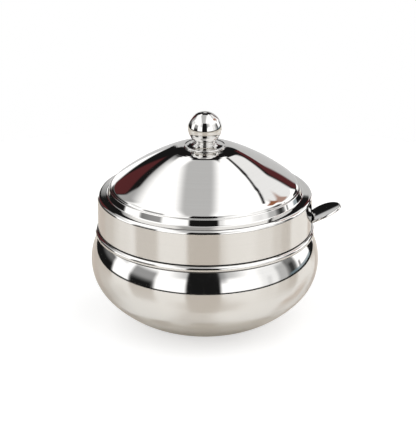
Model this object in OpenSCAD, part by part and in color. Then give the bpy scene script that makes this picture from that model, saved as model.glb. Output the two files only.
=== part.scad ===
// Ghee pot: a round-bellied steel pot with a lift-off lid, a ball knob
// and a serving spoon that leans out through a notch in the lid.
// Millimetres, +Z up, the table is z = 0 and the spoon points to +X.

/* [Bowl] */
// Outer diameter of the belly at its widest circle
belly_d = 110; // [90:1:150]
// Height of the widest circle above the table
belly_z = 31; // [26:0.5:36]
// Radius of the arc that forms the belly
belly_arc = 24; // [20:0.5:28]
// Radius of the flatter arc under the belly
under_arc = 49; // [44:0.5:54]
// Angle below the widest circle at which the two arcs meet
turn_angle = 41; // [36:0.5:46]
// Height of the mouth edge above the widest circle
mouth_rise = 13; // [10:0.25:15]
// Sheet thickness of the bowl
bowl_wall = 0.9; // [0.6:0.05:1.4]

/* [Neck ring] */
// Height of the half-round bead that stops the lid
bead_h = 3; // [2:0.1:4]
// How far the bead stands out past the mouth edge of the bowl
bead_reach = 1.6; // [1:0.1:2.4]
// How far the lip stands in from the mouth edge of the bowl
lip_inset = 1; // [0.8:0.05:1.4]
// Thickness of the upright lip
lip_wall = 0.8; // [0.6:0.05:1.2]
// Height of the lip above the bead
lip_h = 1.6; // [1.4:0.1:2.4]

/* [Lid] */
// Radial clearance between the lip and the lid skirt
skirt_gap = 0.5; // [0.35:0.05:0.8]
// Clearance between the bead and the lower edge of the skirt
seat_gap = 0.4; // [0.3:0.05:0.6]
// Sheet thickness of the lid
lid_wall = 0.8; // [0.6:0.05:1]
// Height of the straight skirt
skirt_h = 15; // [13:0.25:19]
// Radius of the rounded edge over the skirt
rim_r = 1.8; // [1.4:0.1:2.4]
// Width of the ledge inside the rounded edge
ledge_w = 2.8; // [2:0.1:4]
// Outward slope of the ledge, in degrees
ledge_fall = 6; // [3:0.5:8]
// Height of the first step above the ledge
step_h = 3.5; // [2.5:0.1:4.5]
// Inward lean of the first step
step_lean = 1.1; // [0.6:0.1:1.8]
// Width of the narrow shelf between the two steps
shelf_w = 0.9; // [0.6:0.1:1.4]
// Height of the second step
tier_h = 1.4; // [1:0.1:2]
// Inward lean of the second step
tier_lean = 0.5; // [0.2:0.1:0.8]
// Height of the cone above the second step
cone_h = 18.5; // [15:0.5:22]
// Outward bulge of the cone at the middle of its slope
cone_bulge = 1.45; // [0.8:0.05:2]
// Length over which the cone rounds over at its foot
foot_round = 2.5; // [2:0.25:4.5]
// Radius of the flat seat under the knob
seat_r = 12.8; // [11:0.2:15]
// Length over which the cone rounds into that seat
seat_round = 4; // [2:0.25:5]
// Corner rounding of the ledge and steps
corner = 0.45; // [0.3:0.05:0.6]

/* [Spoon notch] */
// Clearance between the spoon handle and each side of the notch
notch_gap = 1; // [0.8:0.1:1.4]
// Clearance between the edges of the handle and the round top of the notch
notch_head = 0.8; // [0.6:0.1:1.4]

/* [Knob] */
// Diameter of the ball
ball_d = 16; // [13:0.2:18]
// Diameter of the flat on which the ball stands
neck_d = 10; // [9:0.2:10.8]
// Diameter of the flared flange
flange_d = 20; // [17:0.25:22]
// Thickness of the flange at its edge
flange_edge = 0.6; // [0.4:0.05:0.8]
// Height of the bell from the lid to the ball
bell_h = 2.65; // [2.5:0.05:3.4]
// Diameter of the small ring between flange and ball
ring_d = 11.2; // [10.8:0.2:12.6]
// Height of that ring above the lid
ring_z = 1.8; // [1.5:0.05:2]
// Hollow of the sweep from the flange up to the ring
sweep = 0.4; // [0.2:0.05:0.5]

/* [Knob screw] */
// Diameter of the screw
screw_d = 4; // [3:0.1:5]
// Radial clearance of the screw in the lid, bell and washers
screw_gap = 0.2; // [0.1:0.05:0.4]
// Radial clearance of the screw in the threaded hole of the ball
thread_gap = 0.05; // [0.02:0.01:0.1]
// Length of screw inside the ball
screw_bite = 7; // [5:0.25:9]
// Depth left free in the ball past the end of the screw
bore_spare = 1; // [0.5:0.1:2]
// Diameter of the screw head
head_d = 7.4; // [6.5:0.1:9]
// Height of the screw head
head_h = 2.4; // [2:0.1:3]
// Width of the driver slot
slot_w = 1.1; // [0.8:0.1:1.4]
// Depth of the driver slot
slot_depth = 1.1; // [0.8:0.1:1.4]
// Diameter of the flat washer
washer_d = 10; // [9:0.25:12]
// Thickness of the flat washer
washer_t = 0.8; // [0.6:0.1:1.2]
// Diameter of the spring washer
spring_d = 7; // [6:0.1:8.5]
// Thickness of the spring washer
spring_t = 1; // [0.8:0.1:1.4]
// Width of the split in the spring washer
split_w = 0.8; // [0.6:0.1:1.2]

/* [Spoon] */
// Upward tilt of the handle
tilt = 25.5; // [23:0.25:27.5]
// Thickness of the handle
handle_t = 1.3; // [1:0.1:1.8]
// Radius of the hollow section of the handle
hollow_r = 40; // [32:1:55]
// Widest part of the handle end
paddle_w = 16.5; // [14:0.25:19]
// Length of the handle end past the lip
paddle_out = 18; // [14:0.5:24]
// Length of the rounded tip
tip_round = 9.5; // [8:0.5:12]
// Length over which the handle widens inside the pot
taper_len = 18; // [15:0.5:24]
// Narrowest width of the handle
strip_w = 6.4; // [5:0.2:8]
// Rim diameter of the spoon bowl
scoop_d = 30; // [26:0.5:32]
// Depth of the spoon bowl
scoop_depth = 9; // [7.5:0.25:10]
// Sheet thickness of the spoon bowl
scoop_wall = 1; // [0.7:0.05:1.3]
// Clearance of the handle over the lip and of the spoon bowl inside the pot
rest_gap = 0.4; // [0.3:0.05:0.7]

/* [Hidden] */
$fn = 96;
eps = 0.01;
cut_spare = 2;
arc_steps = 14;
soft_steps = 5;

// Bowl: centres of the two arcs, mouth and base
belly_c = [belly_d/2 - belly_arc, belly_z];
arc_step_back = under_arc - belly_arc;
under_c = belly_c + arc_step_back*[-cos(turn_angle), sin(turn_angle)];
mouth_z = belly_z + mouth_rise;
mouth_r = belly_c[0] + sqrt(pow(belly_arc, 2) - pow(mouth_rise, 2));
base_r = under_c[0] + sqrt(pow(under_arc, 2) - pow(under_c[1], 2));

// Neck ring
lip_r = mouth_r - lip_inset;
lip_in_r = lip_r - lip_wall;
bead_top = mouth_z + bead_h;
bead_c = [mouth_r + bead_reach - bead_h/2, mouth_z + bead_h/2];
lip_top = bead_top + lip_h;
lip_c = [lip_r - lip_wall/2, lip_top - lip_wall/2];

// Lid
lid_r = lip_r + skirt_gap + lid_wall;
skirt_z = bead_top + seat_gap;
ledge_z = skirt_z + skirt_h + rim_r;
shelf_z = ledge_z + step_h;
foot_z = shelf_z + tier_h;
seat_z = foot_z + cone_h;
ledge_r = lid_r - rim_r - ledge_w;
shelf_r = ledge_r - step_lean;
tier_r = shelf_r - shelf_w;
foot_r = tier_r - tier_lean;
hole_r = screw_d/2 + screw_gap;

// Knob and its screw
ball_r = ball_d/2;
bell_top = seat_z + bell_h;
ball_z = bell_top + sqrt(pow(ball_r, 2) - pow(neck_d/2, 2));
washer_top = seat_z - lid_wall;
spring_top = washer_top - washer_t;
head_top = spring_top - spring_t;
screw_end = bell_top + screw_bite;

// Spoon: the handle line rests over the lip, the bowl rests in the pot
along = [cos(tilt), sin(tilt)];
across = [-sin(tilt), cos(tilt)];
spoon_o = lip_c + (lip_wall/2 + rest_gap + handle_t)*across;
edge_rise = hollow_r - sqrt(pow(hollow_r, 2) - pow(paddle_w/2, 2));
skirt_u = (lid_r - spoon_o[0])/cos(tilt);
skirt_half_w = half_width(skirt_u);
scoop_r = (pow(scoop_d/2, 2) + pow(scoop_depth, 2))/(2*scoop_depth);
scoop_lift = scoop_r - scoop_depth;
scoop_in_r = sqrt(pow(scoop_r - scoop_wall, 2) - pow(scoop_lift, 2));
rest_from = spoon_o + scoop_lift*across - [-under_c[0], under_c[1]];
rest_reach = under_arc - bowl_wall - scoop_r - rest_gap;
rest_dot = rest_from*along;
scoop_u = -rest_dot - sqrt(pow(rest_dot, 2) - rest_from*rest_from + pow(rest_reach, 2));
strip_end = scoop_u + scoop_in_r + eps;
handle_len = paddle_out - strip_end;

// Spoon notch in the skirt: straight sides under a half-round top
notch_r = skirt_half_w + notch_gap;
edge_z = spoon_o[1] + skirt_u*sin(tilt) + edge_rise/cos(tilt);
notch_z = edge_z + notch_head - sqrt(pow(notch_r, 2) - pow(skirt_half_w, 2));

// Points on an arc from angle a0 to a1
function arc(c, r, a0, a1, n) =
    [for (i = [0:n]) let (a = a0 + (a1 - a0)*i/n) c + r*[cos(a), sin(a)]];

// Points in the opposite order
function rev(p) = [for (i = [len(p) - 1:-1:0]) p[i]];

// Unit vector, and its left-hand normal
function unit(v) = v/norm(v);
function left(v) = [-v[1], v[0]];
function side(p, i) = left(unit(p[i + 1] - p[i]));

// The line shifted by t to its left, corners kept sharp
function inset(p, t) =
    [for (i = [0:len(p) - 1])
        let (a = side(p, max(i - 1, 0)), b = side(p, min(i, len(p) - 2)))
        p[i] + t*(a + b)/(1 + a*b)];

// Where the line through p along u meets the line through q along v
function meet(p, u, q, v) = p + u*cross(q - p, v)/cross(u, v);

// A corner at v between a and b, rounded over the length r before it and q after it
function soft(a, v, b, r, q) =
    let (s = v + r*unit(a - v), e = v + q*unit(b - v))
    [for (i = [0:soft_steps])
        let (t = i/soft_steps)
        pow(1 - t, 2)*s + 2*t*(1 - t)*v + pow(t, 2)*e];

// A slope from p to q that bulges by s to the right of its way
function bowed(p, q, s, n) =
    [for (i = [0:n])
        let (t = i/n)
        p + (q - p)*t - left(unit(q - p))*4*s*t*(1 - t)];

// Half width of the spoon handle at distance u from the lip
function ease(t) = let (c = min(max(t, 0), 1)) c*c*(3 - 2*c);
function half_width(u) =
    let (full = paddle_out - tip_round)
    strip_w/2 + (paddle_w - strip_w)/2*ease((u - full + taper_len)/taper_len);

// Section of the bowl, drawn in by w from its outer face
function bowl_line(w) =
    let (a_base = -asin((under_c[1] - w)/(under_arc - w)),
         a_mouth = asin(mouth_rise/(belly_arc - w)))
    concat([[0, w]],
           arc(under_c, under_arc - w, a_base, -turn_angle, arc_steps),
           arc(belly_c, belly_arc - w, -turn_angle + eps, a_mouth, arc_steps));

// Outer line of the lid from the skirt edge to the screw hole
function lid_line() =
    let (rim_c = [lid_r - rim_r, ledge_z - rim_r],
         ledge_o = rim_c + rim_r*[sin(ledge_fall), cos(ledge_fall)],
         ledge_i = [ledge_r, ledge_o[1] + (ledge_o[0] - ledge_r)*tan(ledge_fall)],
         shelf_o = [shelf_r, shelf_z],
         shelf_i = [tier_r, shelf_z],
         foot = [foot_r, foot_z],
         seat = [seat_r, seat_z],
         cone = bowed(foot, seat, cone_bulge, arc_steps),
         slope = [for (p = cone) if (norm(p - foot) > foot_round && norm(p - seat) > seat_round) p],
         heel = slope[0],
         brink = meet(shelf_i, foot - shelf_i, heel, heel - slope[1]),
         brow = slope[len(slope) - 1])
    concat([[lid_r, skirt_z]],
           arc(rim_c, rim_r, 0, 90 - ledge_fall, soft_steps),
           soft(ledge_o, ledge_i, shelf_o, corner, corner),
           soft(ledge_i, shelf_o, shelf_i, corner/2, corner/2),
           soft(shelf_o, shelf_i, foot, corner/2, corner/2),
           soft(shelf_i, brink, heel, 2*corner, norm(heel - brink)),
           [for (i = [1:len(slope) - 1]) slope[i]],
           soft(brow, seat, [hole_r, seat_z], seat_round, seat_round),
           [[hole_r, seat_z]]);

// Spun bowl: flat base, round belly, drawn-in shoulder
module pot_bowl() {
    color("silver")
    rotate_extrude()
    polygon(concat(bowl_line(0), rev(bowl_line(bowl_wall))));
}

// Ring on the mouth of the bowl: half-round bead and upright lip
module neck_ring() {
    color("gainsboro")
    rotate_extrude()
    polygon(concat([[lip_in_r, mouth_z]],
                   arc(bead_c, bead_h/2, -90, 90, arc_steps),
                   [[lip_r, bead_top]],
                   arc(lip_c, lip_wall/2, 0, 180, arc_steps)));
}

// Opening in the skirt for the spoon handle, half round at the top
module spoon_notch() {
    translate([0, 0, notch_z])
    rotate([90, 0, 90])
    linear_extrude(height = lid_r + cut_spare)
    union() {
        circle(r = notch_r);
        translate([-notch_r, skirt_z - notch_z - cut_spare])
        square([2*notch_r, notch_z - skirt_z + cut_spare]);
    }
}

// Pressed lid: skirt, rounded edge, ledge, two steps and cone
module lid_shell() {
    line = lid_line();
    color("lightgray")
    difference() {
        rotate_extrude()
        polygon(concat(line, rev(inset(line, lid_wall))));
        spoon_notch();
    }
}

// Flared bell between the lid and the ball
module knob_bell() {
    edge = flange_edge/2;
    ring_c = [ring_d/2, seat_z + ring_z];
    flange_c = [flange_d/2 - edge, seat_z + edge];
    color("gainsboro")
    rotate_extrude()
    polygon(concat([[hole_r, seat_z]],
                   arc(flange_c, edge, -90, 90, soft_steps),
                   bowed(flange_c + [-eps, edge], ring_c + [edge, -edge], -sweep, soft_steps),
                   arc(ring_c, edge, -90, 90, soft_steps),
                   bowed(ring_c + [-edge, edge], [neck_d/2, bell_top], -edge/2, soft_steps),
                   [[hole_r, bell_top]]));
}

// Ball of the knob with a flat foot and a blind threaded hole
module knob_ball() {
    color("gainsboro")
    difference() {
        translate([0, 0, ball_z])
        sphere(r = ball_r);
        translate([-ball_d, -ball_d, bell_top - ball_d])
        cube([2*ball_d, 2*ball_d, ball_d]);
        translate([0, 0, bell_top - eps])
        cylinder(r = screw_d/2 + thread_gap, h = screw_bite + bore_spare + eps);
    }
}

// Screw that holds the knob from inside the lid
module knob_screw() {
    color("darkgray")
    difference() {
        union() {
            translate([0, 0, head_top - head_h])
            cylinder(d = head_d, h = head_h);
            translate([0, 0, head_top - eps])
            cylinder(d = screw_d, h = screw_end - head_top + eps);
        }
        translate([-head_d, -slot_w/2, head_top - head_h - eps])
        cube([2*head_d, slot_w, slot_depth + eps]);
    }
}

// Flat washer against the inside of the lid
module knob_washer() {
    color("darkgray")
    translate([0, 0, spring_top])
    difference() {
        cylinder(d = washer_d, h = washer_t);
        translate([0, 0, -eps])
        cylinder(r = hole_r, h = washer_t + 2*eps);
    }
}

// Split spring washer under the screw head
module spring_washer() {
    color("dimgray")
    translate([0, 0, head_top])
    difference() {
        cylinder(d = spring_d, h = spring_t);
        translate([0, 0, -eps])
        cylinder(r = hole_r, h = spring_t + 2*eps);
        translate([0, -split_w/2, -eps])
        cube([spring_d, split_w, spring_t + 2*eps]);
    }
}

// Outline of the handle from above, tip towards +X
module handle_outline() {
    full = paddle_out - tip_round;
    edge = concat([for (i = [0:arc_steps])
                       let (u = strip_end + (full - strip_end)*i/arc_steps)
                       [u, half_width(u)]],
                  [for (i = [1:arc_steps])
                       let (a = 90*i/arc_steps)
                       [full + tip_round*sin(a), paddle_w/2*cos(a)]]);
    polygon(concat(edge, [for (p = rev(edge)) [p[0], -p[1]]]));
}

// Hollowed handle strip along X, the floor of the hollow at z = 0
module handle() {
    intersection() {
        translate([0, 0, -handle_t - cut_spare])
        linear_extrude(height = handle_t + edge_rise + 2*cut_spare)
        handle_outline();
        translate([strip_end - eps, 0, hollow_r])
        rotate([0, 90, 0])
        difference() {
            cylinder(r = hollow_r + handle_t, h = handle_len + 2*eps);
            translate([0, 0, -eps])
            cylinder(r = hollow_r, h = handle_len + 4*eps);
        }
    }
}

// Round bowl of the spoon, its rim in the plane z = 0
module scoop() {
    translate([scoop_u, 0, 0])
    difference() {
        translate([0, 0, scoop_lift])
        sphere(r = scoop_r);
        translate([0, 0, scoop_lift])
        sphere(r = scoop_r - scoop_wall);
        translate([-scoop_d, -scoop_d, 0])
        cube([2*scoop_d, 2*scoop_d, 2*scoop_r]);
    }
}

// Serving spoon leaning in the pot, handle out through the notch
module spoon() {
    color("lightgray")
    translate([spoon_o[0], 0, spoon_o[1]])
    rotate([0, -tilt, 0])
    union() {
        handle();
        scoop();
    }
}

pot_bowl();
neck_ring();
lid_shell();
knob_bell();
knob_ball();
knob_screw();
knob_washer();
spring_washer();
spoon();
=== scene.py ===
"""Ghee pot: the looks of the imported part. Metres, +Z up, the spoon points to +X."""

import bpy
import numpy as np
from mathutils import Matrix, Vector


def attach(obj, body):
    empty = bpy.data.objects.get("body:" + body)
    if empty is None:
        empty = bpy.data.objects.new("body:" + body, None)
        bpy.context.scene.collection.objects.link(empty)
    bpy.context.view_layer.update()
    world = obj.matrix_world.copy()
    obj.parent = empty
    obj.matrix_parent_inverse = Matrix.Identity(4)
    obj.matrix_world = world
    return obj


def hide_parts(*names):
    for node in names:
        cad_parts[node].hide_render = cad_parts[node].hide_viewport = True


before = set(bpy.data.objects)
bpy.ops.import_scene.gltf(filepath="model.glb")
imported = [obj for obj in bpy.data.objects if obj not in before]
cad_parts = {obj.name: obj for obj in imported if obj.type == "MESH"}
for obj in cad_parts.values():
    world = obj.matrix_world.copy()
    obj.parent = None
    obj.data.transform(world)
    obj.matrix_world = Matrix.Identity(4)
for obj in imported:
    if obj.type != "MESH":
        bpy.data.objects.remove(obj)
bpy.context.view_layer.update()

MM = 0.001

# Pot, in millimetres and degrees
BELLY_C = np.array([31.0, 31.0])
BELLY_R, BELLY_TURN = 24.0, 41.0
UNDER_R = 49.0
BOWL_WALL, MOUTH_RISE, BASE_SOFT = 0.9, 13.0, 1.6

# Neck ring
BEAD_H, BEAD_REACH = 3.0, 1.6
LIP_INSET, LIP_WALL, LIP_H, LIP_SOFT = 1.0, 0.8, 1.6, 0.35

# Painted shade on the ring: in the groove between bead and lip, and along the seam with the bowl
GROOVE_OUT, GROOVE_FADE, GROOVE_UP, GROOVE_DOWN, GROOVE_IN = 0.5, 0.4, 1.0, 0.2, 0.1
SEAM_UP, SEAM_FADE = 0.9, 0.25

# Lid
SKIRT_GAP, SEAT_GAP, LID_WALL, SKIRT_H, RIM_R = 0.5, 0.4, 0.8, 15.0, 1.8
LEDGE_W, LEDGE_FALL, STEP_H, STEP_LEAN = 2.8, 6.0, 3.5, 1.1
SHELF_W, TIER_H, TIER_LEAN = 0.9, 1.4, 0.5
LEDGE_SOFT, STEP_SOFT, SHELF_SOFT = 0.5, 0.4, 0.3
LEDGE_SOFT_IN, STEP_SOFT_IN = 0.7, 0.25
FOOT_DROP, FOOT_ROUND = 0.9, 2.5
CONE_H, CONE_BULGE, SEAT_R, SEAT_ROUND = 18.5, 1.45, 12.8, 4.0
NOTCH_GAP, NOTCH_HEAD, NOTCH_SPREAD, NOTCH_SOFT, NOTCH_ARCH = 1.0, 0.8, 26.0, 0.9, 0.99

# Knob
BALL_R, NECK_R, FLANGE_R, FLANGE_EDGE = 8.0, 5.0, 10.0, 0.6
BELL_H, RING_R, RING_Z, SWEEP = 2.65, 5.6, 1.8, 0.4
RING_FROM, RING_TO = -60, 100
HOLE_R, BORE_R, BORE_DEPTH = 2.2, 2.05, 8.0

# Spoon
TILT, HANDLE_T, HOLLOW_R = np.radians(25.5), 1.3, 40.0
PADDLE_W, PADDLE_OUT, TIP_ROUND, TAPER_LEN, STRIP_W = 16.5, 18.0, 9.5, 18.0, 6.4
SCOOP_D, SCOOP_DEPTH, SCOOP_WALL, REST_GAP, EDGE_FLAT = 30.0, 9.0, 1.0, 0.4, 0.6
ROOT_GAP, BRIM_DROP, BRIM_OVER, BRIM_FLAT = 0.05, 0.05, 10, 0.9

# Fineness: points round the axis and along arcs, longest gaps along lines, digits for merging
ROUND, KNOB_ROUND, SCOOP_ROUND = 288, 144, 120
UNDER_POINTS, BELLY_POINTS, HEEL_END = 48, 68, 3
BEAD_POINTS, LIP_POINTS, FILLET_POINTS, NOTCH_POINTS = 25, 13, 9, 21
CONE_POINTS, FOOT_POINTS, SKIRT_POINTS, EDGE_POINTS = 54, 14, 18, 9
FLANGE_POINTS, SWEEP_POINTS, COVE_POINTS, BALL_POINTS = 11, 16, 10, 90
HANDLE_POINTS, TIP_POINTS, WIDTH_POINTS, ROLL_POINTS = 90, 60, 29, 15
SCOOP_POINTS, BRIM_POINTS = 60, 11
SHEET_STEP, RING_STEP, KNOB_STEP, SKIRT_STEP = 0.7, 0.3, 0.4, 1.9
EXTRA_GAPS, MERGE_DIGITS = 3, 4

# Sizes that follow from these
under_c = BELLY_C + (UNDER_R - BELLY_R) * np.array(
    [-np.cos(np.radians(BELLY_TURN)), np.sin(np.radians(BELLY_TURN))])
mouth_z = BELLY_C[1] + MOUTH_RISE
mouth_r = BELLY_C[0] + np.sqrt(BELLY_R**2 - MOUTH_RISE**2)
lip_r = mouth_r - LIP_INSET
bead_top = mouth_z + BEAD_H
lip_top = bead_top + LIP_H
lid_r = lip_r + SKIRT_GAP + LID_WALL
skirt_z = bead_top + SEAT_GAP
skirt_top = skirt_z + SKIRT_H
shelf_z = skirt_top + RIM_R + STEP_H
foot_z = shelf_z + TIER_H
seat_z = foot_z + CONE_H
bell_top = seat_z + BELL_H
ball_z = bell_top + np.sqrt(BALL_R**2 - NECK_R**2)


# Lines in the plane of the axis: arrays of (radius, height) points

def unit(v):
    """A vector or rows of vectors, scaled to length one."""
    return v / np.linalg.norm(v, axis=-1, keepdims=True)


def arc(centre, radius, start, end, count):
    """Circle: centre plus radius times (cosine, sine) of angles in degrees."""
    a = np.radians(np.linspace(start, end, count))
    return np.asarray(centre) + radius * np.stack([np.cos(a), np.sin(a)], 1)


def leaning(start, corner, end, count):
    """Curve from start to end that leans on a corner: shares (1-t)^2, 2t(1-t) and t^2."""
    t = np.linspace(0, 1, count)[:, None]
    return (1 - t)**2 * start + 2 * t * (1 - t) * corner + t**2 * end


def meet(p, u, q, v):
    """Where the line through p along u meets the line through q along v."""
    return p + u * ((q - p)[0] * v[1] - (q - p)[1] * v[0]) / (u[0] * v[1] - u[1] * v[0])


def fillet(before, corner, after, reach, count=FILLET_POINTS):
    """Arc that touches both legs of a corner at the distance reach from it."""
    u, v = unit(before - corner), unit(after - corner)
    middle = unit(u + v)
    half = np.arccos(np.clip(u @ middle, -1, 1))
    centre = corner + middle * reach / np.cos(half)
    a, b = corner + reach * u - centre, corner + reach * v - centre
    turn = np.arctan2(a[0] * b[1] - a[1] * b[0], a @ b)
    t = np.linspace(0, turn, count)[:, None]
    side = np.array([-a[1], a[0]])
    return centre + a * np.cos(t) + side * np.sin(t)


def rounded(points, reaches, count=FILLET_POINTS):
    """A corner line whose inner corners become fillets with the given reaches; a reach of
    zero keeps the corner."""
    p = np.asarray(points, float)
    turns = [fillet(p[i], p[i + 1], p[i + 2], r, count) if r else p[i + 1:i + 2]
             for i, r in enumerate(reaches)]
    return np.concatenate([p[:1], *turns, p[-1:]])


def fine(line, step=SHEET_STEP):
    """Long gaps of a line divided on a cosine spacing, closest at their ends."""
    out = []
    for p, q in zip(line[:-1], line[1:]):
        n = int(np.ceil(np.linalg.norm(q - p) / step))
        n = 1 if n < 2 else n + EXTRA_GAPS
        t = (1 - np.cos(np.pi * np.arange(n) / n)) / 2
        out.append(p + (q - p) * t[:, None])
    return np.concatenate([*out, line[-1:]])


def bowed(p, q, bulge, count):
    """Straight way from p to q plus a parabola that stands out to its right."""
    t = np.linspace(0, 1, count)[:, None]
    along = unit(q - p)
    return p + (q - p) * t + np.array([along[1], -along[0]]) * 4 * bulge * t * (1 - t)


def inward(points, by):
    """A corner line moved to its left by a distance, with mitred corners."""
    d = unit(np.diff(points, axis=0))
    n = np.stack([-d[:, 1], d[:, 0]], 1)
    a, b = np.concatenate([n[:1], n]), np.concatenate([n, n[-1:]])
    return points + by * (a + b) / (1 + (a * b).sum(1, keepdims=True))


# Meshes

def cells(rows, cols, start=0):
    """Corner numbers of each cell of a grid whose points are counted row by row."""
    i = start + np.arange(rows * cols).reshape(rows, cols)
    return np.stack([i[:-1, :-1], i[:-1, 1:], i[1:, 1:], i[1:, :-1]], -1).reshape(-1, 4)


def smooth_object(name, verts, faces):
    """A smooth mesh in metres, as an object of the scene that sits at the origin."""
    mesh = bpy.data.meshes.new(name)
    mesh.from_pydata(verts.tolist(), [], faces)
    mesh.polygons.foreach_set("use_smooth", np.ones(len(mesh.polygons), bool))
    mesh.update()
    made = bpy.data.objects.new(name, mesh)
    bpy.context.scene.collection.objects.link(made)
    return made


def put(name, grids, body, nodes, inside=None):
    """One smooth mesh from grids of points in mm, each (rows, columns, 3): every cell is
    a face, and points that coincide at seams and poles become one. The inside mask
    has one value for each row of a single grid."""
    starts = np.cumsum([0] + [g[..., 0].size for g in grids])
    faces = np.concatenate([cells(*g.shape[:2], start) for g, start in zip(grids, starts)])
    verts = np.concatenate([g.reshape(-1, 3) for g in grids])
    _, first, back = np.unique(np.round(verts, MERGE_DIGITS), axis=0,
                               return_index=True, return_inverse=True)
    faces = back.reshape(-1)[faces]
    same = faces == np.roll(faces, -1, axis=1)
    pinched = same.sum(1) == 1
    quads, tris = faces[~same.any(1)], faces[pinched][~same[pinched]].reshape(-1, 3)
    piece = smooth_object(name, verts[first] * MM, quads.tolist() + tris.tolist())
    if inside is not None:
        mask = np.repeat(inside, grids[0].shape[1])[first]
        layer = piece.data.attributes.new("inside", "FLOAT", "POINT")
        layer.data.foreach_set("value", mask.astype(np.float32))
    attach(piece, body)
    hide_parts(*nodes)
    return piece


def spun(line, count=ROUND):
    """Surface of revolution: each point of the line carried round the Z axis."""
    a = np.linspace(0, 2 * np.pi, count + 1)
    a[-1] = 0
    r, z = line[:, :1], line[:, 1:]
    return np.stack([r * np.cos(a), r * np.sin(a), z + 0 * a], -1)


# Pot

def bowl_side(depth):
    """Line of the bowl at a depth in the sheet: flat base from the axis, rounded heel, wide
    arc, and belly arc up to the mouth."""
    low = -np.degrees(np.arcsin((under_c[1] - depth) / (UNDER_R - depth)))
    top = np.degrees(np.arcsin(MOUTH_RISE / (BELLY_R - depth)))
    under = arc(under_c, UNDER_R - depth, low, -BELLY_TURN, UNDER_POINTS)
    belly = arc(BELLY_C, BELLY_R - depth, -BELLY_TURN, top, BELLY_POINTS)
    base = np.array([0, depth])
    heel = fillet(base, under[0], under[HEEL_END], BASE_SOFT)
    return np.concatenate([[base], heel, under[HEEL_END:], belly[1:]])


def make_bowl():
    """Bowl: the outer line up to the mouth and the inner one back down, spun."""
    outer, inner = fine(bowl_side(0.0)), fine(bowl_side(BOWL_WALL)[::-1])
    inside = np.repeat([0, 1], [len(outer), len(inner)])
    grid = spun(np.concatenate([outer, inner]))
    return put("bowl", [grid], "pot", ["pot_bowl"], inside)


def make_ring():
    """Neck ring: half-round bead and upright lip with a half-round top, spun. Its mask is
    painted shade, which fades outwards over the bead and upwards from the seam."""
    foot, half = np.array([[lip_r - LIP_WALL, mouth_z]]), BEAD_H / 2
    bead = arc([mouth_r + BEAD_REACH - half, mouth_z + half], half, -90, 90, BEAD_POINTS)
    corner = fillet(bead[-1], np.array([lip_r, bead_top]), np.array([lip_r, lip_top]), LIP_SOFT)
    top = arc([lip_r - LIP_WALL / 2, lip_top - LIP_WALL / 2], LIP_WALL / 2, 0, 180, LIP_POINTS)
    line = fine(np.concatenate([foot, bead, corner, top, foot]), RING_STEP)
    r, z = line.T
    # Painted shade: a mask for the groove under the lip and for the seam with the bowl
    in_groove = (r > lip_r - GROOVE_IN) & (z > bead_top - GROOVE_DOWN) & (z < bead_top + GROOVE_UP)
    groove = np.clip((mouth_r + GROOVE_OUT - r) / GROOVE_FADE, 0, 1) * in_groove
    seam = np.clip((mouth_z + SEAM_UP - z) / SEAM_FADE, 0, 1)
    return put("neck_bead_and_lip", [spun(line)], "pot", ["neck_ring"],
               np.maximum(groove, seam))


# Place and width of the spoon's handle, which the notch in the lid follows

def spoon_place():
    """Where the floor of the handle's hollow passes over the lip, and how far along it the
    scoop lies: the scoop's sphere stands the rest gap inside the bowl's wide arc."""
    along = np.array([np.cos(TILT), np.sin(TILT)])
    across = np.array([-np.sin(TILT), np.cos(TILT)])
    lip_c = np.array([lip_r - LIP_WALL / 2, lip_top - LIP_WALL / 2])
    origin = lip_c + (LIP_WALL / 2 + REST_GAP + HANDLE_T) * across
    radius = ((SCOOP_D / 2)**2 + SCOOP_DEPTH**2) / (2 * SCOOP_DEPTH)
    lift = radius - SCOOP_DEPTH
    start = origin + lift * across - under_c * [-1, 1]
    reach = UNDER_R - BOWL_WALL - radius - REST_GAP
    dot = start @ along
    scoop_u = -dot - np.sqrt(dot**2 - start @ start + reach**2)
    return origin, along, across, scoop_u, radius, lift


def handle_half(u):
    """Half width of the handle: a smooth step from the strip to the paddle."""
    t = np.clip((u - PADDLE_OUT + TIP_ROUND + TAPER_LEN) / TAPER_LEN, 0, 1)
    return STRIP_W / 2 + (PADDLE_W - STRIP_W) / 2 * t * t * (3 - 2 * t)


# Lid

def notch_size():
    """Radius and centre height of the notch's round top: it clears the handle's sides by
    the gap and the handle's raised edges by the head room."""
    origin = spoon_place()[0]
    u = (lid_r - origin[0]) / np.cos(TILT)
    half = handle_half(u)
    radius = half + NOTCH_GAP
    rise = HOLLOW_R - np.sqrt(HOLLOW_R**2 - (PADDLE_W / 2)**2)
    edge = origin[1] + u * np.sin(TILT) + rise / np.cos(TILT)
    return radius, edge + NOTCH_HEAD - np.sqrt(radius**2 - half**2)


def notch_edge():
    """Lower edge of the skirt as (way round, height): level, then up, over and down
    the notch. Also the way round of the point above it and the outward direction."""
    mid = LID_WALL / 2
    radius, centre = notch_size()
    low, half, far = skirt_z + mid, radius + mid, np.pi * lid_r
    corners = [[far, low], [half, low], [half, centre + half], [0, centre + half]]
    path = fine(rounded(corners, [NOTCH_SOFT, NOTCH_ARCH * half], NOTCH_POINTS), SKIRT_STEP)
    path = np.concatenate([path, path[-2::-1] * [-1, 1]])
    run = np.concatenate([[0], np.cumsum(np.linalg.norm(np.diff(path, axis=0), axis=1))])
    run = run[-1] / 2 - run
    rise = run[0] - far
    squeezed = run * NOTCH_SPREAD / (NOTCH_SPREAD + rise)
    above = np.where(abs(run) < NOTCH_SPREAD + rise, squeezed, run - np.sign(run) * rise)
    d = unit(np.gradient(path, axis=0))
    out = np.stack([-d[:, 1], d[:, 0]], 1)
    out[0] = out[-1] = [0, -1]
    return path, above, out


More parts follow.
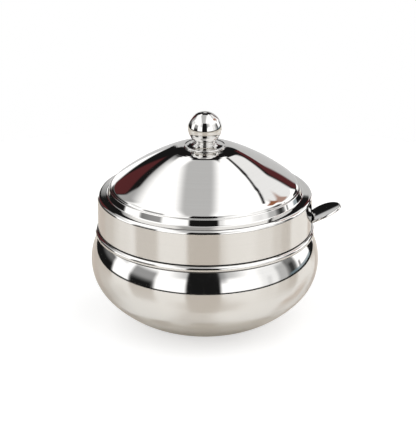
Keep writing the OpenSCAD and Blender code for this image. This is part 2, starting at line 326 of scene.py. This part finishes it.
def lid_lines():
    """Outside and inside of the lid from the skirt's top to the screw hole: rim, falling
    ledge, two steps, a curve over the foot, bulging cone and seat. The inside is the
    same corners moved in by the sheet, with roundings of its own. The first point of
    each, low on the skirt, only gives the rim its direction."""
    ledge_r = lid_r - RIM_R - LEDGE_W
    shelf_r = ledge_r - STEP_LEAN
    tier_r = shelf_r - SHELF_W
    rim = RIM_R * np.tan(np.radians(45 - LEDGE_FALL / 2))
    ledge_in = skirt_top + rim + (lid_r - ledge_r) * np.tan(np.radians(LEDGE_FALL))
    foot, seat = np.array([tier_r - TIER_LEAN, foot_z]), np.array([SEAT_R, seat_z])
    cone = bowed(foot, seat, CONE_BULGE, CONE_POINTS)
    past_foot = np.linalg.norm(cone - foot, axis=1) > FOOT_ROUND
    before_seat = np.linalg.norm(cone - seat, axis=1) > SEAT_ROUND
    cone = cone[past_foot & before_seat]
    wall = unit(np.array([-TIER_LEAN, TIER_H]))
    brink = meet(foot, wall, cone[0], cone[0] - cone[1])
    over_foot = leaning(brink - FOOT_DROP * wall, brink, cone[0], FOOT_POINTS)[:-1]
    steps = [[lid_r, skirt_z], [lid_r, skirt_top + rim], [ledge_r, ledge_in],
             [shelf_r, shelf_z], [tier_r, shelf_z]]
    corners = np.concatenate([steps, over_foot, cone, [seat, [HOLE_R, seat_z]]])
    smooth = [0] * (len(over_foot) + len(cone)) + [SEAT_ROUND]
    outer = rounded(corners, [rim, LEDGE_SOFT, STEP_SOFT, SHELF_SOFT] + smooth)
    inner = rounded(inward(corners, LID_WALL),
                    [rim - LID_WALL, LEDGE_SOFT_IN, STEP_SOFT_IN, SHELF_SOFT] + smooth)
    return outer, inner


def make_lid():
    """Lid: rows of points from the screw hole down the inside, round the half-round lower
    edge and up the outside, carried round the axis. Points of the skirt lie on straight
    rulings between the notched edge and the level circle above it."""
    path, above, out = notch_edge()
    outer, inner = [fine(line[1:]) for line in lid_lines()]
    share = (1 - np.cos(np.linspace(0, np.pi, SKIRT_POINTS))) / 2
    roll = np.radians(np.linspace(0, 180, EDGE_POINTS))[:, None]
    mid = LID_WALL / 2

    def over(line):
        """Rows that carry each point of a line round, above every point of the edge."""
        return np.stack(np.broadcast_arrays(line[:, :1], above, line[:, 1:]), -1)

    def skirt(radius, part):
        """Rulings: from the circle above (part 0) down to the notched edge (part 1)."""
        way = above + (path[:, 0] - above) * part[:, None]
        height = skirt_top + (path[:, 1] - skirt_top) * part[:, None]
        return np.stack(np.broadcast_arrays(radius, way, height), -1)

    edge = np.stack(np.broadcast_arrays(lid_r - mid + mid * np.cos(roll),
                                        path[:, 0] + mid * np.sin(roll) * out[:, 0],
                                        path[:, 1] + mid * np.sin(roll) * out[:, 1]), -1)
    rows = np.concatenate([over(inner[::-1]), skirt(lid_r - LID_WALL, share)[1:-1], edge[::-1],
                           skirt(lid_r, share[::-1])[1:-1], over(outer), over(inner[-1:])])
    a = rows[..., 1] / lid_r
    a[:, -1] = a[:, 0]
    grid = np.stack([rows[..., 0] * np.cos(a), rows[..., 0] * np.sin(a), rows[..., 2]], -1)
    inside = np.arange(len(rows)) < len(inner) + len(share) - 2
    return put("lid", [grid[:, ::-1]], "lid", ["lid_shell"], inside)


# Knob

def make_bell():
    """Bell: half-round flange edge, hollow sweep up to a small ring, cove to the neck; the
    line is spun."""
    e = FLANGE_EDGE / 2
    flange = arc([FLANGE_R - e, e], e, -90, 90, FLANGE_POINTS)
    sweep = bowed(np.array([FLANGE_R - e, 2 * e]), np.array([RING_R + e, RING_Z - e]),
                  -SWEEP, SWEEP_POINTS)
    collar = arc([RING_R, RING_Z], e, RING_FROM, RING_TO, FLANGE_POINTS)
    cove = bowed(np.array([RING_R - e, RING_Z + e]), np.array([NECK_R, BELL_H]),
                 -e / 2, COVE_POINTS)
    hole = [[HOLE_R, BELL_H], [HOLE_R, 0]]
    line = np.concatenate([hole[1:], flange, sweep[1:], collar, cove, hole]) + [0, seat_z]
    return put("knob_bell_flared", [spun(fine(line, KNOB_STEP), KNOB_ROUND)],
               "lid", ["knob_bell"])


def make_ball():
    """Ball: a circle spun round the axis, cut flat at the neck, with the screw's bore."""
    low = -np.degrees(np.arcsin((ball_z - bell_top) / BALL_R))
    end = bell_top + BORE_DEPTH
    line = np.concatenate([[[0, end], [BORE_R, end], [BORE_R, bell_top]],
                           arc([0, ball_z], BALL_R, low, 90, BALL_POINTS)])
    line[-1, 0] = 0
    return put("knob_ball_polished", [spun(fine(line, KNOB_STEP), KNOB_ROUND)],
               "lid", ["knob_ball"])


# Spoon

def flatter(v):
    """Cosines or sines of a circle, raised to a power below one for a squarer round."""
    return np.sign(v) * abs(v)**EDGE_FLAT


def handle_grid(start):
    """Handle: a strip as wide as the handle at each station, its edge a rounded square
    section set square to the outline, bent to the circle of the hollow."""
    full, half_t = PADDLE_OUT - TIP_ROUND, HANDLE_T / 2
    straight = np.linspace(start, full, HANDLE_POINTS)
    tip = np.radians(np.linspace(0, 90, TIP_POINTS))[1:]
    line = np.concatenate([
        np.stack([straight, handle_half(straight)], 1),
        np.stack([full + TIP_ROUND * np.sin(tip), PADDLE_W / 2 * np.cos(tip)], 1)])
    way = unit(np.gradient(line, axis=0))
    way[0], way[-1] = [1, 0], [0, -1]
    out = np.stack([-way[:, 1], way[:, 0]], 1)
    roll = np.radians(np.linspace(90, -90, ROLL_POINTS))[:-1]
    rim = line[:, None] - half_t * (1 - flatter(np.cos(roll)))[None, :, None] * out[:, None]
    inset, flat = line - half_t * out, np.linspace(-1, 1, WIDTH_POINTS)[:-1]
    level, wide, one = inset[:, :1] + 0 * flat, inset[:, 1:] * flat, np.ones_like(flat)
    u = np.concatenate([level, rim[..., 0], level, rim[..., 0]], 1)
    y = np.concatenate([wide, rim[..., 1], -wide, -rim[..., 1]], 1)
    z = half_t * np.concatenate([one, flatter(np.sin(roll)), -one, -flatter(np.sin(roll))])
    turn, reach = y / (HOLLOW_R + half_t), HOLLOW_R + half_t - z
    strip = np.stack([u, reach * np.sin(turn), HOLLOW_R - reach * np.cos(turn)], -1)
    strip = np.concatenate([0 * strip[:1] + strip[0].mean(0), strip])
    return np.concatenate([strip, strip[:, :1]], 1)[:, ::-1]


def scoop_grid(radius, lift):
    """Scoop: the cap of a sphere, the cup inside it and a round brim between them, spun."""
    low = np.degrees(np.arcsin(lift / radius))
    low_in = np.degrees(np.arcsin(lift / (radius - SCOOP_WALL)))
    cap = arc([0, lift], radius, -90, -low, SCOOP_POINTS)
    cup = arc([0, lift], radius - SCOOP_WALL, -low_in, -90, SCOOP_POINTS)
    brim_r, brim_half = (cap[-1, 0] + cup[0, 0]) / 2, (cap[-1, 0] - cup[0, 0]) / 2
    brim = arc([brim_r, -BRIM_DROP], brim_half, -BRIM_OVER, 180 + BRIM_OVER, BRIM_POINTS)
    line = np.concatenate([cap[:-1], brim * [1, BRIM_FLAT], cup[1:]])
    line[0, 0] = line[-1, 0] = 0
    return spun(line, SCOOP_ROUND)


def make_spoon():
    """Spoon: handle and scoop, made level along X and then tilted over the lip."""
    origin, along, across, scoop_u, radius, lift = spoon_place()
    inner_r = np.sqrt((radius - SCOOP_WALL)**2 - lift**2)
    level = [handle_grid(scoop_u + inner_r + ROOT_GAP), scoop_grid(radius, lift) + [scoop_u, 0, 0]]
    tilted = [np.stack([origin[0] + g[..., 0] * along[0] + g[..., 2] * across[0], g[..., 1],
                        origin[1] + g[..., 0] * along[1] + g[..., 2] * across[1]], -1) for g in level]
    return put("serving_spoon", tilted, "spoon", ["spoon"])


bowl, ring, lid = make_bowl(), make_ring(), make_lid()
bell, ball, spoon = make_bell(), make_ball(), make_spoon()


# Finishes

# The third colour is painted shade, laid into the ring's groove and seam
BRIGHT, DEEP, PAINTED_SHADE = (0.730, 0.722, 0.708), (0.670, 0.660, 0.645), (0.03, 0.028, 0.026)
GLOSS_LEAST, GLOSS_SPAN, SCRATCH_ROUGH = 0.75, 0.5, 0.10
NOISE_MEAN, BUMP_DEPTH = 0.5, 0.001
SMUDGE_FROM, SMUDGE_FULL = 0.52, 0.74
HAIR_WIDTH, HAIR_BEND, HAIR_FROM, HAIR_FULL = 0.012, 0.02, 0.56, 0.66
# Colour sockets of a Mix node
MIX_A, MIX_B, MIX_OUT = 6, 7, 2


def group(name, inputs, outputs):
    """An empty shader node group with float sockets; each input has its default."""
    g = bpy.data.node_groups.new(name, "ShaderNodeTree")
    for label, value in inputs.items():
        socket = g.interface.new_socket(name=label, in_out="INPUT", socket_type="NodeSocketFloat")
        socket.default_value = value
    for label in outputs:
        g.interface.new_socket(name=label, in_out="OUTPUT", socket_type="NodeSocketFloat")
    return g, g.nodes.new("NodeGroupInput").outputs, g.nodes.new("NodeGroupOutput").inputs


def node(tree, kind, links=(), **values):
    """A node with its properties set and its inputs linked or filled."""
    n = tree.nodes.new("ShaderNode" + kind)
    for key, value in values.items():
        setattr(n, key, value)
    for key, value in dict(links).items():
        if hasattr(value, "node"):
            tree.links.new(value, n.inputs[key])
        else:
            n.inputs[key].default_value = value
    return n


def math_node(tree, operation, a, b=0.0):
    """One arithmetic step."""
    return node(tree, "Math", {0: a, 1: b}, operation=operation).outputs[0]


def times(tree, a, b):
    """Product of two values."""
    return math_node(tree, "MULTIPLY", a, b)


def plus(tree, a, b):
    """Sum of two values."""
    return math_node(tree, "ADD", a, b)


def noise(tree, at, scale, detail, rough=0.5):
    """Outputs of a noise read at a place; rough is how strongly its finer steps show."""
    return node(tree, "TexNoise", {"Vector": at, "Scale": scale, "Detail": detail,
                                   "Roughness": rough}).outputs


def ramp(tree, value, low, high):
    """Zero at low, one at high, straight between them and held outside."""
    return node(tree, "MapRange", {"Value": value, "From Min": low, "From Max": high}).outputs[0]


def make_buffing():
    """Buffing lines round the axis: noise read at (radius, height) only, so it is the
    same all round, and slightly broken by a coarse noise."""
    g, given, result = group("Buffing lines", {"Lines per mm": 2.0, "Break": 0.4}, ["Lines", "Height"])
    at = node(g, "TexCoord").outputs["Object"]
    x, y, z = node(g, "SeparateXYZ", {0: at}).outputs
    r = math_node(g, "SQRT", plus(g, times(g, x, x), times(g, y, y)))
    per_metre = times(g, given["Lines per mm"], 1 / MM)
    loose = noise(g, at, scale=60.0, detail=1.0)["Fac"]
    where = node(g, "CombineXYZ", {0: times(g, r, per_metre), 1: times(g, z, per_metre),
                                   2: times(g, loose, given["Break"])}).outputs[0]
    lines = noise(g, where, scale=1.0, detail=3.0, rough=0.65)["Fac"]
    g.links.new(lines, result["Lines"])
    g.links.new(math_node(g, "SUBTRACT", lines, NOISE_MEAN), result["Height"])
    return g


def make_handling():
    """Handling: a cloudy noise gives soft smudges, the edges of bent cells give hairline
    scratches where another noise is high, and a wide noise gives ripples."""
    g, given, result = group("Handling marks", {"Smudge scale": 35.0, "Scratch scale": 90.0},
                             ["Smudge", "Scratch", "Ripple"])
    at = node(g, "TexCoord").outputs["Object"]
    cloud = noise(g, at, given["Smudge scale"], detail=5.0, rough=0.6)["Fac"]
    bent = noise(g, at, scale=40.0, detail=1.0)["Color"]
    shift = node(g, "VectorMath", {0: bent, "Scale": HAIR_BEND}, operation="SCALE").outputs[0]
    moved = node(g, "VectorMath", {0: at, 1: shift}, operation="ADD").outputs[0]
    cracks = node(g, "TexVoronoi", {"Vector": moved, "Scale": given["Scratch scale"]},
                  feature="DISTANCE_TO_EDGE").outputs["Distance"]
    patches = noise(g, at, scale=120.0, detail=2.0)["Fac"]
    wave = noise(g, at, scale=38.0, detail=1.0, rough=0.4)["Fac"]
    hairs = times(g, ramp(g, cracks, HAIR_WIDTH, 0.0), ramp(g, patches, HAIR_FROM, HAIR_FULL))
    g.links.new(ramp(g, cloud, SMUDGE_FROM, SMUDGE_FULL), result["Smudge"])
    g.links.new(hairs, result["Scratch"])
    g.links.new(math_node(g, "SUBTRACT", wave, NOISE_MEAN), result["Ripple"])
    return g


buffing, handling = make_buffing(), make_handling()


def mixed(tree, factor, a, b):
    """Colour between a and b."""
    return node(tree, "Mix", {"Factor": factor, MIX_A: a, MIX_B: b}, data_type="RGBA").outputs[MIX_OUT]


def steel(name, tint, shade, gloss, lines=2.0, line_height=0.0006, ripple=0.02, smudge=0.05,
          dull=0.0, shade_share=0.0):
    """Polished steel: buffing lines and ripples bend the mirror a little, smudges and
    hairlines roughen it, and where the inside mask is set the sheet is duller, and darker
    by the share of painted shade."""
    m = bpy.data.materials.new(name)
    m.use_nodes = True
    t = m.node_tree
    b = node(t, "Group", node_tree=buffing)
    b.inputs["Lines per mm"].default_value = lines
    h = node(t, "Group", node_tree=handling)
    colour = mixed(t, b.outputs["Lines"], (*shade, 1), (*tint, 1))
    marks = plus(t, times(t, h.outputs["Smudge"], smudge), times(t, h.outputs["Scratch"], SCRATCH_ROUGH))
    polish = plus(t, times(t, b.outputs["Lines"], gloss * GLOSS_SPAN), gloss * GLOSS_LEAST)
    rough = plus(t, marks, polish)
    if dull:
        side = node(t, "Attribute", attribute_name="inside").outputs["Fac"]
        rough = plus(t, rough, times(t, side, dull))
        # Painted shade: the colour is darkened where the mask is set
        colour = mixed(t, times(t, side, shade_share), colour, (*PAINTED_SHADE, 1))
    height = plus(t, times(t, b.outputs["Height"], line_height), times(t, h.outputs["Ripple"], ripple))
    bump = node(t, "Bump", {"Height": height, "Strength": 1.0, "Distance": BUMP_DEPTH})
    p = t.nodes["Principled BSDF"]
    p.inputs["Metallic"].default_value = 1.0
    t.links.new(colour, p.inputs["Base Color"])
    t.links.new(rough, p.inputs["Roughness"])
    t.links.new(bump.outputs[0], p.inputs["Normal"])
    return m


def dress(piece, material):
    """The piece shows this material only."""
    piece.data.materials.clear()
    piece.data.materials.append(material)


dress(bowl, steel("bowl polished steel", BRIGHT, DEEP, gloss=0.05, dull=0.14))
# The ring's groove and seam are darkened with painted shade
dress(ring, steel("ring polished steel", BRIGHT, DEEP, gloss=0.05, dull=0.3, shade_share=0.85))
dress(lid, steel("lid polished steel", BRIGHT, DEEP, gloss=0.035, dull=0.14))
dress(bell, steel("bell polished steel", BRIGHT, DEEP, gloss=0.03, ripple=0.0))
dress(ball, steel("ball polished steel", BRIGHT, DEEP, gloss=0.03, ripple=0.0))
dress(spoon, steel("spoon polished steel", BRIGHT, DEEP, gloss=0.05))
for label, tint, shade, gloss in (("knob_screw", (0.60, 0.59, 0.56), (0.46, 0.45, 0.43), 0.22),
                                  ("knob_washer", (0.64, 0.63, 0.60), (0.52, 0.51, 0.49), 0.26),
                                  ("spring_washer", (0.36, 0.35, 0.34), (0.24, 0.23, 0.23), 0.30)):
    dress(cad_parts[label], steel(label.replace("_", " ") + " steel", tint, shade, gloss,
                                       lines=5.0, line_height=0.004, ripple=0.0, smudge=0.12))


# Studio, in metres and degrees: a round table top, and a tent of pale cloth with darker openings

def neutral(value):
    """A colour without a tint."""
    return (value, value, value)


TENT_R, TENT_Z, TENT_TURN, TENT_LOW = 1.4, 0.06, -3.0, -40
TENT_ROUND, TENT_ROWS = 481, 190
CLOTH, PALE, BACKDROP, GREY = neutral(1.6), neutral(1.14), neutral(0.68), neutral(0.66)
MIST, HAZE, DUSK, DARK = neutral(0.5), neutral(0.42), neutral(0.2), neutral(0.012)
CURTAIN, COPPER = (0.115, 0.028, 0.030), (0.40, 0.16, 0.08)
SLATE, FLOOR = (0.22, 0.30, 0.34), (0.78, 0.73, 0.65)

TABLE_R, TABLE_EYE, TABLE_ROUND, TABLE_ROWS = 0.29, 0.0005, 145, 40
TABLE_MATT, TABLE_LIFT = neutral(0.62), 0.555
TABLE_WOOD, TABLE_WARM = (0.86, 0.785, 0.70), (0.080, 0.076, 0.066)
TABLE_SHEEN, SHEEN_ROUGH, SHEEN_SHARE = (0.90, 0.96, 1), 0.2, 0.28

# Lens in pixels of the photo and the photo's longer side, then where the camera stands and aims
LENS_PX, PHOTO_PX, SENSOR_MM = 1770, 433, 36.0
CAMERA_EL, CAMERA_FAR, CAMERA_NEAREST, CAMERA_FARTHEST = 21.13, 0.853, 0.05, 10.0
TARGET_Z, AIM_RIGHT, AIM_DOWN = 0.0547, 0.0015, 0.0030

# Middle strip: side from, side to, softness, roll from, roll to, softness, colour
STRIP = [
    (-18, 8, 9.0, 50, 116, 4.0, GREY),
    (-12, 11, 3.0, 116, 162, 3.0, DARK),
    (-24, 24, 6.0, 130, 162, 4.0, DARK),
    (-7, 3.5, 2.0, 142, 148, 2.0, CLOTH),
]
# Panels: azimuth from, to, softness, elevation from, to, softness, depth, colour
PANELS = [
    # Front: a grey wash with a dark opening
    (-28, 42, 30.0, 23, 46, 10.0, 0.9, GREY),
    (12, 25, 8.0, 15, 46, 10.0, 0.6, DUSK),
    (-15.5, 18.5, 4.0, -14, 50, 4.0, 1.0, DARK),
    # Left: an opening that darkens downwards, a grey patch, and a wide opening behind
    (-75, -47, 6.0, -20, 28, 12.0, 1.0, HAZE),
    (-75, -48, 6.0, -20, 9, 9.0, 1.0, DUSK),
    (-75, -49, 6.0, -20, 5, 10.0, 1.0, DARK),
    (-104, -84, 6.0, 18, 34, 6.0, 0.6, GREY),
    (-148, -100, 6.0, -16, 15, 6.0, 1.0, DUSK),
    (-148, -100, 6.0, -16, 5, 8.0, 1.0, DARK),
    (-158, -108, 12.0, 8, 42, 16.0, 0.8, DUSK),
    # Right: greys that darken towards the back, and a bluish foot
    (58, 92, 12.0, -16, 30, 12.0, 0.4, GREY),
    (79, 94, 6.0, -16, 22, 10.0, 0.8, MIST),
    (66, 71, 4.0, -16, 10, 8.0, 0.2, DUSK),
    (91, 106, 5.0, -16, 24, 10.0, 0.95, DUSK),
    (95, 102, 5.0, -16, 13, 8.0, 0.85, DARK),
    (109, 112, 2.0, -3, 5, 2.0, 0.9, DUSK),
    (94, 138, 6.0, -16, -2.5, 1.5, 0.85, SLATE),
    # Right behind: a pale panel, copper at its corner, a dark edge in three lengths, a dark post
    (118, 157, 2.0, 20, 50, 2.0, 1.0, PALE),
    (104, 121, 3.0, 35, 44, 3.0, 1.0, COPPER),
    (114, 131, 4.0, 24, 38, 4.0, 0.8, COPPER),
    (112, 128, 2.0, 48.0, 50.4, 1.6, 1.0, DARK),
    (124, 142, 2.0, 48.8, 51.2, 1.6, 1.0, DARK),
    (138, 157, 2.0, 48.2, 51.4, 2.0, 1.0, DARK),
    (133, 148, 2.0, -16, 9, 2.0, 1.0, DARK),
    # Back: a grey backdrop in two halves, dark openings, and a curtain on each side
    (-200, -163, 3.0, -40, 21, 0.8, 1.0, BACKDROP),
    (-172, -155, 3.0, 21, 45, 4.0, 1.0, DARK),
    (158, 176, 3.0, 21, 45, 4.0, 1.0, DARK),
    (-167, -129, 3.0, 8, 37, 3.0, 1.0, DARK),
    (-151, -131, 3.0, 8, 29.5, 3.0, 1.0, CURTAIN),
    (146, 168, 3.0, 4, 30, 3.0, 1.0, DARK),
    (148, 166, 3.0, 6, 27, 3.0, 1.0, CURTAIN),
    (156, 200, 3.0, -40, 21, 0.8, 1.0, BACKDROP),
    # Below the table top: a dark band, then the floor
    (-150, 150, 4.0, -95, -6, 1.0, 1.0, DARK),
    (-164, 157, 3.0, -95, -10.5, 1.0, 1.0, FLOOR),
]


def soft_box(value, low, high, soft):
    """One inside the range, zero outside, with a smooth step as wide as soft."""
    t = np.clip(np.minimum(value - low, high - value) / soft + 0.5, 0, 1)
    return t * t * (3 - 2 * t)


def tent_glow(x, y, z):
    """Light of the tent by direction: pale cloth, then each opening or panel laid over
    it. Azimuth is 0 at the front and grows to the right; the middle strip is
    measured by its side angle and by its roll from the front over the top."""
    az, el = np.degrees(np.arctan2(x, -y)), np.degrees(np.arcsin(np.clip(z, -1, 1)))
    side, roll = np.degrees(np.arcsin(np.clip(x, -1, 1))), np.degrees(np.arctan2(z, -y))
    roll = np.where(roll < -90, roll + 360, roll)
    layers = [(soft_box(side, s0, s1, soft_s) * soft_box(roll, r0, r1, soft_r), colour)
              for s0, s1, soft_s, r0, r1, soft_r, colour in STRIP]
    layers += [(soft_box(az, a0, a1, soft_a) * soft_box(el, e0, e1, soft_e) * depth, colour)
               for a0, a1, soft_a, e0, e1, soft_e, depth, colour in PANELS]
    glow = np.full((*x.shape, 3), CLOTH)
    for mask, colour in layers:
        glow += (np.asarray(colour) - glow) * mask[..., None]
    return glow


def stage_mesh(name, grid):
    """A grid of points in metres as a mesh that belongs to the studio."""
    made = smooth_object(name, grid.reshape(-1, 3), cells(*grid.shape[:2]).tolist())
    return made


def bare_material(name):
    """A material without nodes, and its node tree."""
    m = bpy.data.materials.new(name)
    m.use_nodes = True
    m.node_tree.nodes.clear()
    return m, m.node_tree


def make_tent():
    """Tent: a sphere by azimuth and elevation; each point carries its own light."""
    az = np.radians(np.linspace(-180, 180, TENT_ROUND))[None, :]
    el = np.radians(np.linspace(TENT_LOW, 90, TENT_ROWS))[:, None]

    def direction(a):
        """Directions at the azimuths a and all elevations."""
        return np.stack([np.cos(el) * np.sin(a), -np.cos(el) * np.cos(a), np.sin(el) + 0 * a], -1)

    tent = stage_mesh("light_tent", direction(az + np.radians(TENT_TURN)) * TENT_R + [0, 0, TENT_Z])
    glow = tent_glow(*np.moveaxis(direction(az), -1, 0))
    layer = tent.data.attributes.new("glow", "FLOAT_VECTOR", "POINT")
    layer.data.foreach_set("vector", glow.astype(np.float32).reshape(-1))
    m, t = bare_material("tent cloth")
    shine = node(t, "Emission", {"Color": node(t, "Attribute", attribute_name="glow").outputs["Vector"]})
    node(t, "OutputMaterial", {"Surface": shine.outputs[0]})
    dress(tent, m)
    tent.visible_camera = False


def make_table():
    """Table top: a disc of rings round a tiny eye. The camera sees it white with the pot's
    shadow; the steel sees a pale glossy top that ends at its rim."""
    a = np.linspace(0, 2 * np.pi, TABLE_ROUND)[None, :]
    r = np.linspace(TABLE_EYE, TABLE_R, TABLE_ROWS)[:, None]
    table = stage_mesh("table_top", np.stack([r * np.cos(a), r * np.sin(a), 0 * r * a], -1))
    m, t = bare_material("pale table")

    def both(first, second):
        """Two shaders added."""
        return node(t, "AddShader", {0: first, 1: second}).outputs[0]

    matt = node(t, "BsdfDiffuse", {"Color": (*TABLE_MATT, 1)}).outputs[0]
    lift = node(t, "Emission", {"Color": (1, 1, 1, 1), "Strength": TABLE_LIFT}).outputs[0]
    wood = node(t, "BsdfDiffuse", {"Color": (*TABLE_WOOD, 1)}).outputs[0]
    shine = node(t, "BsdfGlossy", {"Color": (*TABLE_SHEEN, 1), "Roughness": SHEEN_ROUGH}).outputs[0]
    top = node(t, "MixShader", {0: SHEEN_SHARE, 1: wood, 2: shine}).outputs[0]
    warm = node(t, "Emission", {"Color": (*TABLE_WARM, 1), "Strength": 1.0}).outputs[0]
    seen = node(t, "LightPath").outputs["Is Camera Ray"]
    mix = node(t, "MixShader", {0: seen, 1: both(top, warm), 2: both(matt, lift)})
    node(t, "OutputMaterial", {"Surface": mix.outputs[0]})
    dress(table, m)


def make_world():
    """White behind everything for the camera and for mirrors; it adds no other light."""
    w = bpy.data.worlds.new("white studio")
    bpy.context.scene.world = w
    w.use_nodes = True
    t = w.node_tree
    look = node(t, "LightPath").outputs
    mirrored = math_node(t, "MAXIMUM", look["Is Glossy Ray"], look["Is Transmission Ray"])
    seen = math_node(t, "MAXIMUM", look["Is Camera Ray"], mirrored)
    back = t.nodes["Background"]
    back.inputs["Color"].default_value = (1, 1, 1, 1)
    t.links.new(seen, back.inputs["Strength"])


def make_camera():
    """Long lens in front at the photo's height, aimed a little off the pot's middle."""
    el = np.radians(CAMERA_EL)
    back, right = np.array([0.0, -np.cos(el), np.sin(el)]), np.array([1.0, 0.0, 0.0])
    up = np.cross(back, right)
    target = np.array([0, 0, TARGET_Z])
    data = bpy.data.cameras.new("camera")
    data.sensor_width, data.lens = SENSOR_MM, SENSOR_MM * LENS_PX / PHOTO_PX
    data.clip_start, data.clip_end = CAMERA_NEAREST, CAMERA_FARTHEST
    cam = bpy.data.objects.new("camera", data)
    bpy.context.scene.collection.objects.link(cam)
    cam.location = target + CAMERA_FAR * back
    aim = target + AIM_RIGHT * right - AIM_DOWN * up
    cam.rotation_mode = "QUATERNION"
    cam.rotation_quaternion = Vector(aim - np.array(cam.location)).to_track_quat("-Z", "Y")
    bpy.context.scene.camera = cam


make_tent()
make_table()
make_world()
make_camera()
bpy.context.scene.view_settings.view_transform = "Standard"
